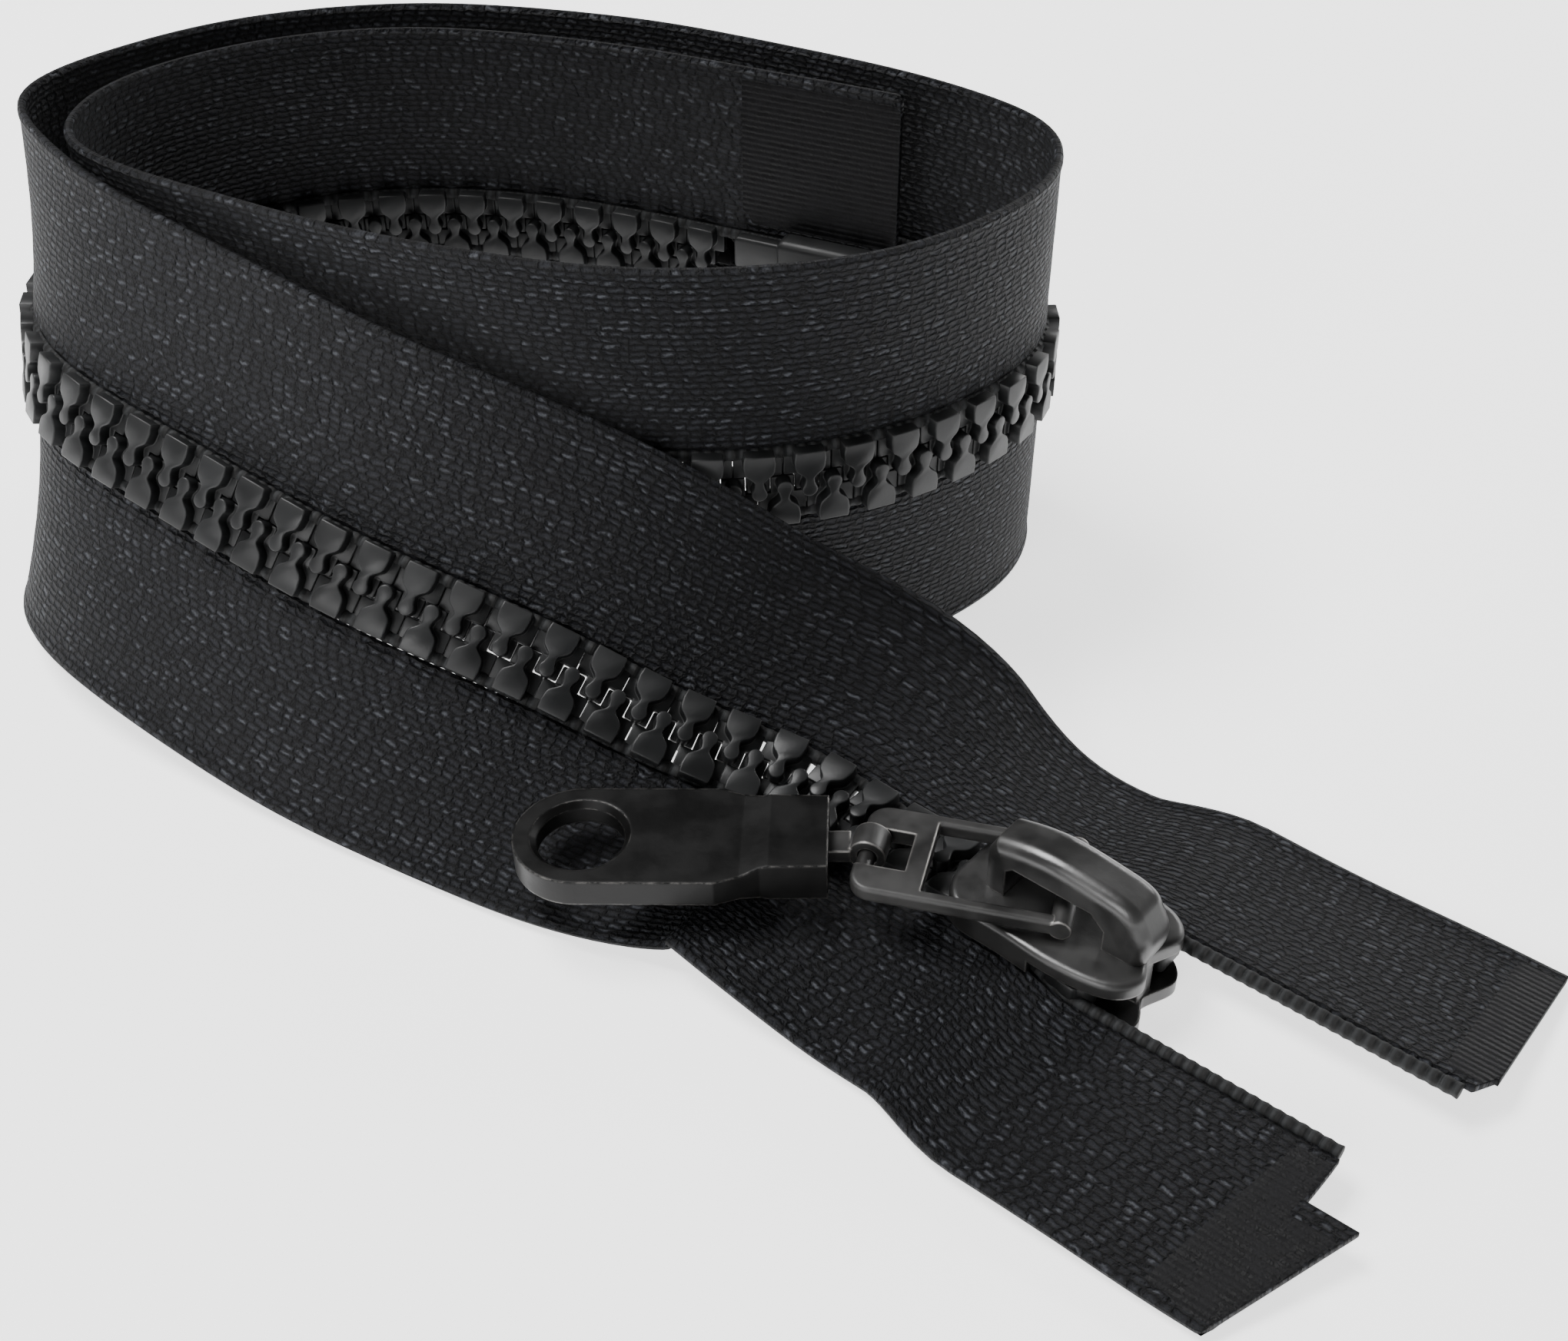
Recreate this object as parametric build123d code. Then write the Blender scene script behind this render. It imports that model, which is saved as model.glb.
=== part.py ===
from build123d import *
import math
import os
import numpy as np

# A size 5 moulded-tooth open-end zipper, closed and rolled into an oval coil that stands on
# the edge of its tape. Its top end comes round the outside, twists flat and runs through an
# auto-lock slider to two parted tape ends. Millimetres, +Z up, floor at z = 0.
os.makedirs("parts", exist_ok=True)

# ---- chain and tape ----
PITCH = 3.4             # tooth to tooth along one row
ROW_HALF = 2.85         # chain centre to the outer edge of a tooth
TOOTH_THICK = 2.5
LEDGE_THICK = 0.6       # thin ridge that locks a tooth between its neighbours
CORD_CENTRE = 2.5       # chain centre to the edge cord
CORD_RADIUS = 0.5
CORD_GAP = 0.12         # room between a cord and the plastic moulded round it
TAPE_INNER = 3.05       # chain centre to the woven tape behind the cord
TAPE_HALF = 16.5        # chain centre to the selvedge
TAPE_THICK = 0.5
TAPE_SLOT = 0.76        # height of every slot the tape passes through

# ---- the open end inside and beyond the slider ----
SPREAD = 1.7            # how far each row is led away from the chain centre
SPREAD_START = -3.0     # along the chain from the slider centre
SPREAD_LENGTH = 7.5
LAST_UPPER_TOOTH = 1.0
STOP_AT = {1: 4.7, -1: 3.0}
STOP_LENGTH = 2.6
END_HINGE = 9.5         # the free tape ends begin here
CORD_CUT = {1: 25.0, -1: 21.5}
END_CUT = {1: 26.6, -1: 25.8}    # inner corner of the tape's cut end, past the cord's end
CUT_SLANT = {1: -0.6, -1: -5.0}  # from there to the outer corner
SLANT_REACH = 14.0
NOTCH = {1: 1.6, -1: 3.4}        # how far the inner corner is cut away beside the cord's end
NOTCH_RAMP = 0.8
TOP_FILM = {1: 3.6, -1: 6.6}
IN_SLIDER_FROM = -9.5   # teeth past this point are spread when the slider backs off

# ---- bottom end ----
BOTTOM_FILM = 13.0
BOX_START = 0.5
BOX_LENGTH = 9.0
BOX_HALF = 3.6
BOX_THICK = 4.0
BOX_WALL = 0.7
PIN_END = 13.4
FIRST_TOOTH = 15.3
FILM_THICK = 0.08
FILM_GAP = 0.02

# ---- slider, in its own frame: X along the chain to the mouth, Z from the chain centre ----
SLIDER_AT = (22.1, -23.75, 2.4)
SLIDER_TURN = -39.5
PLATE_IN = 1.4          # inner face of the top and the bottom plate
BOTTOM_OUT = -2.4
TOP_OUT = 2.5
CHANNEL_HALF = 3.2
FLANGE_END = 0.2
SLOT_LOW = -0.62
SLOT_HIGH = 0.46
CROWN_HALF = 1.7
CROWN_ROUND = 0.9
CROWN_TOP = 7.1

# ---- pull ----
PIVOT_UP = 3.45         # link bar above the chain centre
BAR_RADIUS = 0.7
LINK_TURN = 205.0       # heading of the link seen from the slider
LINK_THICK = 1.1
LINK_REACH = 12.6       # pivot to the end bar
LINK_NEAR = 3.1         # sides of the link either way from the pivot centre
LINK_FAR = 4.6
LINK_BAR = 0.85
END_BAR_RADIUS = 0.55
HOOK_SIDE = -1.2        # where the hook sits along the end bar
HOOK_RADIUS = 1.2
HOOK_GAP = 0.08
TAB_TURN = 178.0        # heading of the tab and its dip towards the tape
TAB_DIP = 1.6
TAB_THICK = 1.9
TAB_BLOCK_THICK = 2.8   # the end moulded round the hook's tail
TAB_HALF = 4.3
TAB_HOLE = 18.2         # hook bar to the middle of the round hole
TAB_HOLE_RADIUS = 2.8

# ---- route of the chain centre ----
# The rolled part stands upright: an oval spiral, skewed a little, whose turns grow outwards.
COIL_HEIGHT = 16.5
COIL_CENTRE = (-12.7, 26.2)
COIL_LONG = 31.7        # half length and half width before the first turn has grown
COIL_WIDE = 14.8
COIL_GROWTH = 5.2       # added to both by each turn
COIL_TILT = -9.5        # the long axis dips to the right
COIL_SKEW = 1.6
COIL_ANGLES = range(75, 536, 20)
STRAIGHT_LEAD = (17.0, 8.5)    # the stiff box and pins keep the inner end straight
# Then it leans over: x, y, z and the lean from upright of upper tape, teeth and lower tape.
FRONT = [(-51.8, 26, 16.7, 10, 5, 0), (-47.8, 16, 17, 22, 20, 20), (-38, 8, 15.5, 25, 30, 40),
         (-24, -0.5, 12.5, 30, 40, 45), (-11, -5, 8.5, 37, 50, 60), (-1, -8, 4.5, 50, 65, 80),
         (6, -10.5, 2.7, 65, 75, 93), (11, -14.6, 2.4, 82, 88, 90)]
# Last it lies flat and straight through the slider: distances from the slider centre.
STRAIGHT = (-7.5, 0, 10, 26)
FLAT_LEAN = (97, 90, 83)
SECTION_STEP = PITCH / 2
FIRST_TURN_END = 122.0  # the long tapes are drawn in three stretches that meet here
SECOND_TURN_END = 240.0
SEAM = 0.02
CORD_SIDES = 6

UPPER = 1
LOWER = -1


# ---------------------------------------------------------------- route
def natural_slopes(where, values):
    """Slopes of the natural cubic spline through the rows of values."""
    count = len(where)
    step = np.diff(where)
    system = np.zeros((count, count))
    right = np.zeros_like(values)
    rise = np.diff(values, axis=0) / step[:, None]
    system[0, :2] = (2, 1)
    right[0] = 3 * rise[0]
    system[-1, -2:] = (1, 2)
    right[-1] = 3 * rise[-1]
    for i in range(1, count - 1):
        before, after = 1 / step[i - 1], 1 / step[i]
        system[i, i - 1:i + 2] = (before, 2 * (before + after), after)
        right[i] = 3 * (rise[i - 1] * before + rise[i] * after)
    return np.linalg.solve(system, right)


def coil_place(angle):
    """Plan place on the rolled part, angle in degrees from its right-hand side."""
    turn, tilt = math.radians(angle), math.radians(COIL_TILT)
    grown = COIL_GROWTH * angle / 360
    x = (COIL_LONG + grown) * math.cos(turn)
    y = (COIL_WIDE + grown) * math.sin(turn) + COIL_SKEW * math.cos(3 * turn)
    return (COIL_CENTRE[0] + x * math.cos(tilt) - y * math.sin(tilt),
            COIL_CENTRE[1] + x * math.sin(tilt) + y * math.cos(tilt))


def route_knots():
    heading = math.radians(SLIDER_TURN)
    start = np.array(coil_place(COIL_ANGLES[0]))
    back = start - np.array(coil_place(COIL_ANGLES[0] + 1))
    lead = [start + back * d / np.linalg.norm(back) for d in STRAIGHT_LEAD]
    turns = [coil_place(angle) for angle in COIL_ANGLES]
    rolled = [(x, y, COIL_HEIGHT, 0, 0, 0) for x, y in [*lead, *turns]]
    straight = [(SLIDER_AT[0] + d * math.cos(heading), SLIDER_AT[1] + d * math.sin(heading),
                 SLIDER_AT[2], *FLAT_LEAN) for d in STRAIGHT]
    return np.array(rolled + FRONT + straight, dtype=float)


KNOTS = route_knots()
SLIDER_KNOT = len(STRAIGHT_LEAD) + len(COIL_ANGLES) + len(FRONT) + STRAIGHT.index(0)
GAPS = np.linalg.norm(np.diff(KNOTS[:, :3], axis=0), axis=1)
WHERE = np.concatenate([[0], np.cumsum(GAPS)])
SLOPES = natural_slopes(WHERE, KNOTS)


def blend_knots(u):
    """Route values and their slope at chord parameter u."""
    i = int(np.clip(np.searchsorted(WHERE, u) - 1, 0, len(WHERE) - 2))
    step = WHERE[i + 1] - WHERE[i]
    t = (u - WHERE[i]) / step
    values = ((1 + 2 * t) * (1 - t) ** 2 * KNOTS[i] + t * (1 - t) ** 2 * step * SLOPES[i]
              + t * t * (3 - 2 * t) * KNOTS[i + 1] + t * t * (t - 1) * step * SLOPES[i + 1])
    slope = (6 * t * (t - 1) * (KNOTS[i] - KNOTS[i + 1]) / step
             + (1 - t) * (1 - 3 * t) * SLOPES[i] + t * (3 * t - 2) * SLOPES[i + 1])
    return values, slope


SAMPLES = np.linspace(0, WHERE[-1], 2000)
SAMPLE_POINTS = np.array([blend_knots(u)[0][:3] for u in SAMPLES])
RUN = np.concatenate([[0], np.cumsum(np.linalg.norm(np.diff(SAMPLE_POINTS, axis=0), axis=1))])
SLIDER_RUN = float(np.interp(WHERE[SLIDER_KNOT], SAMPLES, RUN))


def unit(vector):
    return vector / np.linalg.norm(vector)


def spread(x):
    """Sideways lead of a row and its slope, x from the slider centre."""
    t = min(max((x - SPREAD_START) / SPREAD_LENGTH, 0), 1)
    return SPREAD * t * t * (3 - 2 * t), SPREAD * 6 * t * (1 - t) / SPREAD_LENGTH


def row_frame(s, side):
    """Origin, travel, tooth and tape directions of one row at distance s along the chain."""
    values, slope = blend_knots(float(np.interp(s, RUN, SAMPLES)))
    travel = unit(slope[:3])
    up = unit(np.array([0, 0, 1]) - travel * travel[2])
    inward = np.cross(up, travel)
    tape_lean = math.radians(values[3] if side == UPPER else values[5])
    tooth_lean = math.radians(values[4])
    tooth_way = side * (math.cos(tooth_lean) * up + math.sin(tooth_lean) * inward)
    tape_way = side * (math.cos(tape_lean) * up + math.sin(tape_lean) * inward)
    lead, lead_slope = spread(s - SLIDER_RUN)
    origin = values[:3] + lead * tooth_way
    travel_led = unit(travel + lead_slope * tooth_way)
    tooth_led = unit(tooth_way - lead_slope * travel)
    return origin, travel_led, tooth_led, tape_way


def stations(first, last, step=SECTION_STEP):
    count = max(2, math.ceil((last - first) / step) + 1)
    return np.linspace(first, last, count)


def cut_shift(s, side, across):
    """How far the slanting cut moves a point along the tape near its free end."""
    near_end = max(0.0, 1 - (SLIDER_RUN + END_CUT[side] - s) / SLANT_REACH)
    return CUT_SLANT[side] * near_end * (across - TAPE_INNER) / (TAPE_HALF - TAPE_INNER)


def notch_depth(s, side):
    """How far the tape's inner edge steps out past the end of the cord."""
    past = (s - SLIDER_RUN - CORD_CUT[side]) / NOTCH_RAMP
    return NOTCH[side] * min(max(past, 0), 1)


def tape_section(s, side, inner, outer, low, high):
    """Four-sided wire across a tape: inner and outer edge, low and high side of its middle."""
    inner = max(inner, TAPE_INNER + notch_depth(s, side))
    origin, travel, tooth_way, tape_way = row_frame(s, side)
    root = origin + TAPE_INNER * tooth_way
    face = unit(np.cross(travel, tape_way))
    corners = [(inner, low), (outer, low), (outer, high), (inner, high)]
    points = [root + (across - TAPE_INNER) * tape_way + off * face
              + cut_shift(s, side, across) * travel for across, off in corners]
    return Wire.make_polygon([Vector(*p) for p in points], close=True)


def tape_band(first, last, side, inner=TAPE_INNER, outer=TAPE_HALF,
              low=-TAPE_THICK / 2, high=TAPE_THICK / 2):
    wires = [tape_section(s, side, inner, outer, low, high) for s in stations(first, last)]
    return Solid.make_loft(wires, ruled=True)


def film_pair(first, last, side, inner):
    """The smooth film on the front and the back of a tape."""
    near = TAPE_THICK / 2 + FILM_GAP
    far = near + FILM_THICK
    return [tape_band(first, last, side, inner, TAPE_HALF, near, far),
            tape_band(first, last, side, inner, TAPE_HALF, -far, -near)]


def cord_section(s, side):
    origin, travel, tooth_way, _ = row_frame(s, side)
    across = np.cross(travel, tooth_way)
    centre = origin + CORD_CENTRE * tooth_way
    turns = [2 * math.pi * i / CORD_SIDES for i in range(CORD_SIDES)]
    points = [centre + CORD_RADIUS * (math.sin(a) * tooth_way + math.cos(a) * across) for a in turns]
    return Wire.make_polygon([Vector(*p) for p in points], close=True)


def cord(first, last, side):
    wires = [cord_section(s, side) for s in stations(first, last)]
    return Solid.make_loft(wires, ruled=True)


def on_row(shape, s, side):
    """Move a shape drawn with X outward and Y along the chain onto a row."""
    origin, travel, tooth_way, _ = row_frame(s, side)
    normal = np.cross(tooth_way, travel)
    plane = Plane(origin=Vector(*origin), x_dir=Vector(*tooth_way), z_dir=Vector(*normal))
    return plane.location * shape


# ---------------------------------------------------------------- teeth, stops, pins, box
def cord_bore(length):
    """What is cut from a tooth, stop or pin for the cord and the tape behind it."""
    bore = Pos(CORD_CENTRE, 0, 0) * Rot(90, 0, 0) * Cylinder(CORD_RADIUS + CORD_GAP, length)
    slot = Pos(CORD_CENTRE + 1, 0, 0) * Box(2, length, TAPE_SLOT)
    return bore + slot


def tooth():
    head_centre, head_radius = -0.17, 0.55
    head_side = (head_centre + head_radius * math.cos(math.radians(50)),
                 head_radius * math.sin(math.radians(50)))
    side = [(ROW_HALF, 1.05), (2.2, 1.12), (1.6, 1.05), (1.25, 0.85), (0.95, 0.48),
            (0.68, 0.30), head_side]
    mirrored = [(v, -t) for v, t in side]
    outline = (Polyline(*side)
               + ThreePointArc(head_side, (head_centre - head_radius, 0), mirrored[-1])
               + Polyline(*mirrored) + Line(side[0], mirrored[0]))
    solid = extrude(make_face(outline), TOOTH_THICK / 2, both=True)
    ledge = Pos(1.54, 0, 0) * Box(1.5, PITCH - 0.36, LEDGE_THICK)
    tip_ledge = Pos(0.1, 0, 0) * Box(1.4, PITCH / 2 - 0.16, LEDGE_THICK)
    return solid + ledge + tip_ledge - cord_bore(4)


def moulded_bar(inner, length):
    """A smooth block on the cord: the top stops and the two bottom pins."""
    width = ROW_HALF - inner
    bar = Pos(inner + width / 2, 0, 0) * Box(width, length, TOOTH_THICK)
    bar = fillet(bar.edges().filter_by(Axis.Z), 0.35)
    return bar - cord_bore(length + 1)


def tooth_places(side):
    """Distances along the chain of the teeth of one row, from the slider down."""
    last = LAST_UPPER_TOOTH if side == UPPER else LAST_UPPER_TOOTH - PITCH / 2
    count = int((SLIDER_RUN + last - FIRST_TOOTH) / PITCH) + 1
    return [SLIDER_RUN + last - PITCH * i for i in range(count)]


def teeth(side, in_slider):
    shape = tooth()
    border = SLIDER_RUN + IN_SLIDER_FROM
    return [on_row(shape, s, side) for s in tooth_places(side) if (s > border) == in_slider]


def bottom_pin(side):
    start = BOX_START + BOX_WALL + 0.1
    length = PIN_END - start
    return on_row(moulded_bar(0.15, length), start + length / 2, side)


def retainer_box():
    block = Box(2 * BOX_HALF, BOX_LENGTH, BOX_THICK)
    block = fillet(block.edges(), 0.6)
    room = Pos(0, BOX_WALL, 0) * Box(2 * ROW_HALF + 0.2, BOX_LENGTH, TOOTH_THICK + 0.2)
    block -= room
    for side in (UPPER, LOWER):
        block -= Pos(side * (ROW_HALF + 1), 0, 0) * Box(2.2, BOX_LENGTH + 1, TAPE_SLOT)
    block -= Box(2 * CORD_CENTRE + 3, BOX_LENGTH + 1, 1) - Box(2, BOX_LENGTH + 2, 2)
    return on_row(block, BOX_START + BOX_LENGTH / 2, UPPER)


# ---------------------------------------------------------------- slider
SLIDER = Location(SLIDER_AT, (0, 0, SLIDER_TURN))


def plate_outline():
    """Plan of both plates: narrow closed end, two shoulders and a notch at the mouth."""
    side = [(6.6, 1.2), (6.9, 2.3), (6.1, 3.6), (4.0, 4.35), (1.0, 4.5), (-3.0, 4.2),
            (-6.0, 3.7), (-7.0, 2.1)]
    other_side = [(x, -y) for x, y in reversed(side)]
    return make_face(Spline((6.1, 0), *side, (-7.1, 0), *other_side, periodic=True))


def channel_outline():
    """The way the two rows take between the flanges, opening towards the mouth."""
    wall = [(x, CHANNEL_HALF + spread(x + 0.6)[0]) for x in (-3.6, -2.0, -0.5, 1.0, 2.5, 4.0)]
    half = (Line((-8, 0), (-8, CHANNEL_HALF)) + Line((-8, CHANNEL_HALF), wall[0])
            + Spline(*wall) + Line(wall[-1], (8, wall[-1][1])) + Line((8, wall[-1][1]), (8, 0)))
    return make_face(half + mirror(half, Plane.XZ))


def post():
    outline = Polyline((1.1, 0), (3.2, 0.5), (5.0, 0.75), (6.0, 0.75), (6.0, 0), close=True)
    half = extrude(make_face(outline), PLATE_IN + 0.1, both=True)
    return half + mirror(half, Plane.XZ)


def slider_body():
    outline = plate_outline()
    top = Pos(0, 0, PLATE_IN) * extrude(outline, TOP_OUT - PLATE_IN)
    top = fillet(top.edges().filter_by_position(Axis.Z, TOP_OUT, TOP_OUT), 0.4)
    bottom = Pos(0, 0, BOTTOM_OUT) * extrude(outline, -PLATE_IN - BOTTOM_OUT)
    walls = extrude(outline - channel_outline(), PLATE_IN, both=True)
    walls &= Pos(FLANGE_END - 10, 0, 0) * Box(20, 14, 2 * PLATE_IN)
    body = top + bottom + walls + post()
    for side in (UPPER, LOWER):
        middle = (SLOT_LOW + SLOT_HIGH) / 2
        body -= Pos(0, side * 5.9, middle) * Box(20, 6, SLOT_HIGH - SLOT_LOW)
    return body - pawl_shaft(0, 3)


def pawl_shaft(low, high):
    """Hole the lock pawl works in, through the top plate and up inside the crown's leg."""
    return Pos(-4.1, 1.05, (low + high) / 2) * Box(1.1, 0.65, high - low)


def crown():
    back = Polyline((-5.2, TOP_OUT), (-5.2, 5.2), (-4.6, 6.4))
    arch = Spline((-4.6, 6.4), (-1.0, CROWN_TOP), (3.2, 6.8), (5.8, 5.6),
                  tangents=[(1, 0.3), (0.45, -1)])
    front = Spline((5.8, 5.6), (6.5, 4.2), (6.3, TOP_OUT), tangents=[(0.45, -1), (-0.3, -1)])
    base = Line((6.3, TOP_OUT), (-5.2, TOP_OUT))
    side_view = Plane.XZ * make_face(back + arch + front + base)
    cap = extrude(side_view, CROWN_HALF, both=True)
    rims = [e for e in cap.edges() if e.center().Z > 3 and abs(e.center().Y) > 0.9 * CROWN_HALF]
    cap = fillet(rims, CROWN_ROUND)
    under = Polyline((-3.5, TOP_OUT - 1), (-3.5, 4.6), (-3.0, 5.0), (2.6, 4.9), (3.6, 4.0),
                     (3.6, TOP_OUT - 1), close=True)
    cap -= extrude(Plane.XZ * make_face(under), 5, both=True)
    room = Pos(-0.5, 0.3, 5.2) * Box(6.6, 1.9, 1.9)
    shaft = Pos(-4.1, 1.0, 4.2) * Box(1.2, 0.75, 3.9)
    return cap - room - shaft


def pawl_spring():
    """Leaf pressed into the roof of the crown above the pawl."""
    strip = (Spline((-3.4, 6.02), (-0.5, 5.86), (2.4, 6.02)) + Line((2.4, 6.02), (2.4, 6.12))
             + Spline((2.4, 6.12), (-0.5, 5.96), (-3.4, 6.12)) + Line((-3.4, 6.12), (-3.4, 6.02)))
    return Pos(0, 0.3, 0) * extrude(Plane.XZ * make_face(strip), 0.7, both=True)


def lock_pawl():
    """Strip that lies over the link bar, with a pin down through the top plate."""
    strip = Pos(-1.15, 0.3, 4.45) * Box(4.7, 1.5, 0.3)
    tongue = Pos(-3.9, 1.0, 4.45) * Box(1.2, 0.5, 0.3)
    pin = Pos(-4.1, 1.05, 2.45) * Box(0.8, 0.4, 4.2)
    return strip + tongue + pin


# ---------------------------------------------------------------- pull
LINK = SLIDER * Location((0, 0, PIVOT_UP), (0, 0, LINK_TURN))


def pull_link():
    """X runs from the pivot to the end bar; the near side of the link is on +Y."""
    width = LINK_NEAR + LINK_FAR
    middle = (LINK_NEAR - LINK_FAR) / 2
    length = LINK_REACH + 0.6
    plate = Pos(length / 2, middle, 0) * Box(length, width, LINK_THICK)
    plate = fillet(plate.edges().filter_by(Axis.Z).sort_by(Axis.X)[-2:], 1.4)
    cross_bar = 8.7
    inside = width - 2 * LINK_BAR
    plate -= Pos(cross_bar / 2 - 1, middle, 0) * Box(cross_bar + 2, inside, 3)
    plate = fillet(plate.edges().filter_by(Axis.X), 0.25)
    plate -= Pos(11.6, middle, 0) * Box(3.3, 3.4, 3)
    end_bar = Pos(LINK_REACH, middle, 0) * Rot(90, 0, 0) * Cylinder(END_BAR_RADIUS, 4)
    pivot = Pos(0, middle, 0) * Rot(90, 0, 0) * Cylinder(BAR_RADIUS, width)
    return plate + end_bar + pivot


HOOK = LINK * Location((LINK_REACH, HOOK_SIDE, 0))
TAB = Location(HOOK.position, (0, 0, TAB_TURN)) * Location((0, 0, 0), (0, TAB_DIP, 0))


def tab_neck(grow):
    return Pos(3.3, 0, 0) * Box(4.2 + 2 * grow, 1.9 + 2 * grow, 0.9 + 2 * grow)


def tab_hook():
    """Metal eye round the end bar, its tail moulded into the grip."""
    eye = HOOK * Rot(90, 0, 0) * (Cylinder(HOOK_RADIUS, 1.9))
    bore = HOOK * Rot(90, 0, 0) * Cylinder(END_BAR_RADIUS + HOOK_GAP, 6)
    return eye + TAB * tab_neck(0) - bore


def pull_tab():
    """X runs from the hook to the round-holed end, Z up from the middle of the grip."""
    end = TAB_HOLE + TAB_HALF
    side = Polyline((2.6, 0), (2.6, 3.2), (6.8, 3.3), (9.6, TAB_HALF), (TAB_HOLE, TAB_HALF))
    nose = ThreePointArc((TAB_HOLE, TAB_HALF), (end, 0), (TAB_HOLE, -TAB_HALF))
    plan = make_face(side + nose + mirror(side, Plane.XZ))
    thin, thick = TAB_THICK / 2, TAB_BLOCK_THICK / 2
    profile = Polyline((2.6, -thick), (6.3, -thick), (8.0, -thin), (end + 1, -thin), (end + 1, thin),
                       (8.0, thin), (6.3, thick), (2.6, thick), close=True)
    body = extrude(plan, 3, both=True) & extrude(Plane.XZ * make_face(profile), 6, both=True)
    body -= Pos(TAB_HOLE, 0, 0) * Cylinder(TAB_HOLE_RADIUS, 4)
    rim = 0.4
    for face in (1, -1):
        low, high = TAB_HOLE_RADIUS + (0, rim)[face > 0], TAB_HOLE_RADIUS + (0, rim)[face < 0]
        body -= Pos(TAB_HOLE, 0, face * (thin - rim / 2)) * Cone(high, low, rim)
    return TAB * (body - tab_neck(0.03))


def write(name, solids):
    """Write one node as one STEP file."""
    pieces = solids if isinstance(solids, list) else [solids]
    whole = Compound(children=[p for piece in pieces for p in piece.solids()])
    whole.label = name
    export_step(whole, f"parts/{name}.step")


def main():
    names = {UPPER: "upper", LOWER: "lower"}
    for side, name in names.items():
        hinge = SLIDER_RUN + END_HINGE
        cut = SLIDER_RUN + END_CUT[side]
        borders = [0, FIRST_TURN_END, SECOND_TURN_END, hinge]
        for part, first, last in zip(("first_turn", "second_turn", "front"), borders, borders[1:]):
            write(f"tape_{name}_{part}", tape_band(first, last - SEAM, side))
        write(f"tape_{name}_end", tape_band(hinge + 0.05, cut, side))
        write(f"cord_{name}", cord(0, hinge, side))
        write(f"cord_{name}_end", cord(hinge + 0.05, SLIDER_RUN + CORD_CUT[side], side))
        write(f"teeth_{name}", teeth(side, False))
        write(f"teeth_{name}_in_slider", teeth(side, True))
        stop = on_row(moulded_bar(0.35, STOP_LENGTH), SLIDER_RUN + STOP_AT[side], side)
        write(f"top_stop_{name}", stop)
        write(f"film_top_{name}", film_pair(cut - TOP_FILM[side], cut, side, TAPE_INNER))
        write(f"film_bottom_{name}", film_pair(0, BOTTOM_FILM, side, BOX_HALF + 0.2))
    write("retainer_pin", bottom_pin(UPPER))
    write("insertion_pin", bottom_pin(LOWER))
    write("retainer_box", retainer_box())
    write("slider_body", SLIDER * slider_body())
    write("crown", SLIDER * crown())
    write("pawl_spring", SLIDER * pawl_spring())
    write("lock_pawl", SLIDER * lock_pawl())
    write("pull_link", LINK * pull_link())
    write("tab_hook", tab_hook())
    write("pull_tab", pull_tab())


main()
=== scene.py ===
import math
import bpy
import numpy as np
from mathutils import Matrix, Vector


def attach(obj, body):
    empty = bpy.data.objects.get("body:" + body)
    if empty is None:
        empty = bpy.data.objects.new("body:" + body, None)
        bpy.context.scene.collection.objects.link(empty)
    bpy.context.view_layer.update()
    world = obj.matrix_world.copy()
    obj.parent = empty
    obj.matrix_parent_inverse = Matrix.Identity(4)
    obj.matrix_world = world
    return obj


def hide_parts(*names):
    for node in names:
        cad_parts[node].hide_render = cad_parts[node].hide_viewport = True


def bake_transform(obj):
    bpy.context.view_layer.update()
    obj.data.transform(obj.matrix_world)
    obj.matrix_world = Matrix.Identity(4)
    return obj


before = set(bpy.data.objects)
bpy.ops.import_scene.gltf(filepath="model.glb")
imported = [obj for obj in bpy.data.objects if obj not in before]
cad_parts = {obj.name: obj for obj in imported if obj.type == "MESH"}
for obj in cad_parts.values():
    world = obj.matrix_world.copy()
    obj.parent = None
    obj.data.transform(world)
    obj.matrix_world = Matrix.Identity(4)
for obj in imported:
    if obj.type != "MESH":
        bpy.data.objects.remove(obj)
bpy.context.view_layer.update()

MM = 0.001

# ---- chain, tape and slider sizes, as in the CAD part, mm ----
PITCH = 3.4
ROW_HALF = 2.85
TOOTH_HALF = 1.25
LEDGE_HALF = 0.3
LEDGE_GAP = 0.06
CORD_CENTRE = 2.5
CORD_RADIUS = 0.5
TAPE_INNER = 3.05
TAPE_EDGE = 3.0         # where the drawn tape starts, just under its cord
TAPE_HALF = 16.5
SPREAD = 1.7
SPREAD_START = -3.0
SPREAD_LENGTH = 7.5
LAST_UPPER_TOOTH = 1.0
STOP_AT = {1: 4.7, -1: 3.0}
STOP_LENGTH = 2.6
CORD_CUT = {1: 25.0, -1: 21.5}
END_CUT = {1: 26.6, -1: 25.8}
CUT_SLANT = {1: -0.6, -1: -5.0}
SLANT_REACH = 14.0
NOTCH = {1: 1.6, -1: 3.4}
NOTCH_RAMP = 0.8
TOP_FILM = {1: 3.6, -1: 6.6}
IN_SLIDER_FROM = -9.5
BOTTOM_FILM = 13.0
TAPE_PARTS = ("first_turn", "second_turn", "front", "end")
BOX_START = 0.5
BOX_LENGTH = 9.0
BOX_HALF = 3.6
BOX_THICK = 4.0
PIN_START = 1.3
PIN_END = 13.4
FIRST_TOOTH = 15.3
SLIDER_AT = (22.1, -23.75, 2.4)
SLIDER_TURN = -39.5

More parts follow.
